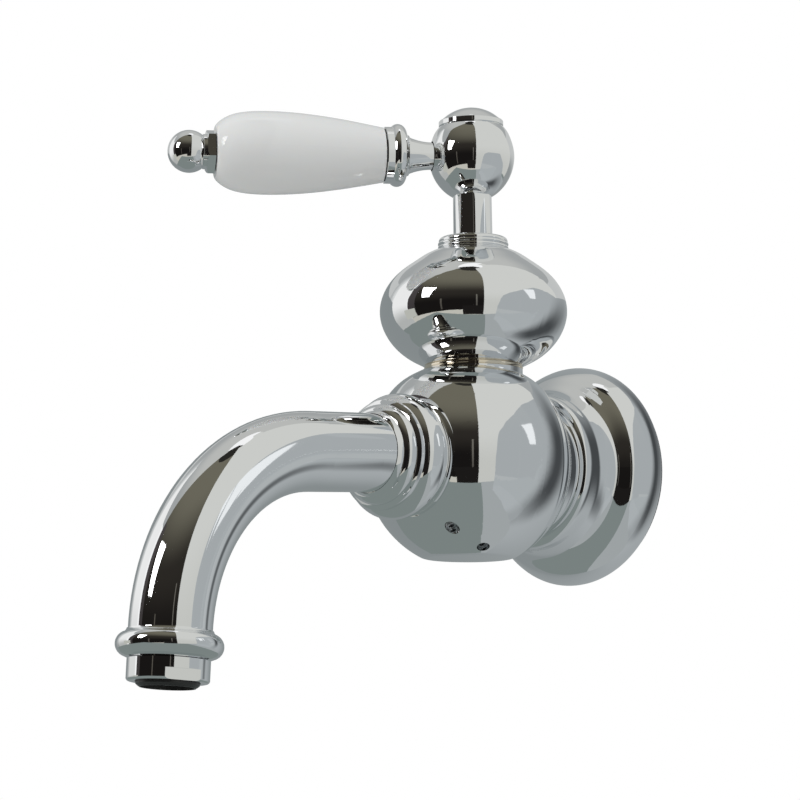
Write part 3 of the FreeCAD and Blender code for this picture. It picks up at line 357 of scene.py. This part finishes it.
# papers to the left, brightest beside the dark room and greyer in three steps toward their edge
paper_foot = height_at(-20, left_paper_far)
paper_bright = height_at(8, left_paper_far)
paper_edge = -117
edge_step = 4
patch("left_paper", (paper_edge, -88), (-32, 48), left_paper_far,
      card_paint("left_paper_card", "B6B8B6", "F4F4F3", paper_foot, paper_bright), last_top=30)
for step, tone in enumerate(("DBDDDC", "C6C8C8", "B4B7B7")):
    last = paper_edge - edge_step * step
    patch("left_paper_edge_%d" % (step + 1), (last - edge_step, last), (-32, 47), left_paper_far,
          card_paint("left_paper_edge_card_%d" % (step + 1), "9DA09F", tone, paper_foot, paper_bright))
patch("left_block", (-95, -77), (-20, -5), left_block_far, even_paint("left_block_card", "BDBEB6"))
patch("left_upper", (-235, -87), (33, 80), left_upper_far,
      card_paint("left_upper_card", "A6A9A9", "C0C1BE",
                 height_at(42, left_upper_far), height_at(66, left_upper_far)), lean=(0, 10))
patch("left_far", (-235, -116), (-40, 34), left_far,
      card_paint("left_far_card", "969A9A", "C6C8C7", 0.06, 0.26))

# the pale strip beyond the table, with a dark stand before it, and the paper to the right
patch("pale_strip", (-128, 20), (-42, -21), strip_far, even_paint("pale_strip_card", "C4C2B8"))
patch("dark_stand", (-14, 11), (-32, -12), stand_far, even_paint("dark_stand_card", "1D1B1A"))
patch("right_paper", (11, 150), (-75, 84), right_paper_far,
      card_paint("right_paper_card", "C9CAC5", "D4D5D1", -0.1, 0.4), lean=(3, 0))

# grey-green table top, and the grey paper that covers its right side
sheet_mesh("table_top", [[ground(-0.6, -0.33), ground(-0.6, 0.6)],
                         [ground(table_edge, -0.33), ground(table_edge, 0.6)]],
           even_paint("table_top_card", "7F8886"))
grey_paper_rows = ((-0.6, 0.02), (0.0, 0.02), (table_edge, 0.07))
sheet_mesh("grey_paper", [[ground(forward, left, grey_paper_z), ground(forward, 0.5, grey_paper_z)]
                          for forward, left in grey_paper_rows], even_paint("grey_paper_card", "A5AAAB"))

# the grey board that the tap is fixed to, curling forward on both sides: x, y and top of each fold
board_plan = [(-0.255, -0.14, 0.1), (-0.235, -0.09, 0.12), (-0.19, -0.035, 0.125), (-0.12, 0.0, 0.105),
              (-0.06, 0.003, 0.08), (0.0, 0.003, 0.06), (0.04, 0.003, 0.066), (0.062, 0.003, 0.084),
              (0.088, -0.006, 0.104), (0.16, -0.07, 0.104), (0.19, -0.1, 0.092), (0.2, -0.113, 0.07),
              (0.21, -0.13, 0.0)]
board_foot = [(x, y, table_z) for x, y, top in board_plan]
sheet_mesh("grey_board", [board_foot, board_plan], board_paint(), smooth=False)

# pale floor that takes the shadow
bpy.ops.mesh.primitive_plane_add(size=floor_size, location=(0, 0, floor_z))
floor = bpy.context.active_object
floor.name = "floor"
floor_paint, t = new_material("pale_floor_paint")
where = node(t, "ShaderNodeTexCoord").outputs["Object"]
speck = node(t, "ShaderNodeTexNoise", Vector=where, Scale=40.0, Detail=2.0)
colour = node(t, "ShaderNodeMix", {"data_type": "RGBA"}, Factor=speck.outputs["Fac"])
colour.inputs[6].default_value = srgb("E6E6E5")
colour.inputs[7].default_value = srgb("E9E9E8")
shader = node(t, "ShaderNodeBsdfPrincipled", Base_Color=colour.outputs[2], Roughness=0.7,
              Specular_IOR_Level=0.0)
finish_material(t, shader.outputs["BSDF"])
floor.data.materials.append(floor_paint)
floor.visible_glossy = False

# world: white to the camera and to mirrors, an even soft light for the rest
world = bpy.data.worlds.new("studio")
bpy.context.scene.world = world
world.use_nodes = True
t = world.node_tree
t.nodes.clear()
path = node(t, "ShaderNodeLightPath").outputs
seen = node(t, "ShaderNodeMath", {"operation": "MAXIMUM"}, i0=path["Is Camera Ray"], i1=path["Is Glossy Ray"])
seen = node(t, "ShaderNodeMath", {"operation": "MAXIMUM"}, i0=seen.outputs[0], i1=path["Is Transmission Ray"])
white = node(t, "ShaderNodeBackground", Color=(1, 1, 1, 1), Strength=1.0)
soft = node(t, "ShaderNodeBackground", Color=srgb("F4F6F8"), Strength=0.43)
both = node(t, "ShaderNodeMixShader", i0=seen.outputs[0], i1=soft.outputs[0], i2=white.outputs[0])
out = t.nodes.new("ShaderNodeOutputWorld")
t.links.new(both.outputs[0], out.inputs["Surface"])


def soft_box(name, side_turn, lift, power):
    """A large square lamp aimed at the tap."""
    data = bpy.data.lights.new(name, "AREA")
    data.shape = "SQUARE"
    data.size = lamp_size
    data.energy = power
    lamp = bpy.data.objects.new(name, data)
    bpy.context.scene.collection.objects.link(lamp)
    way = direction(side_turn, lift)
    lamp.location = centre + way * lamp_far
    lamp.rotation_euler = way.to_track_quat("Z", "Y").to_euler()
    lamp.visible_glossy = False
    lamp.visible_camera = False
    return lamp


soft_box("key_lamp", -60, 45, 44.0)
soft_box("fill_lamp", 60, 30, 19.0)
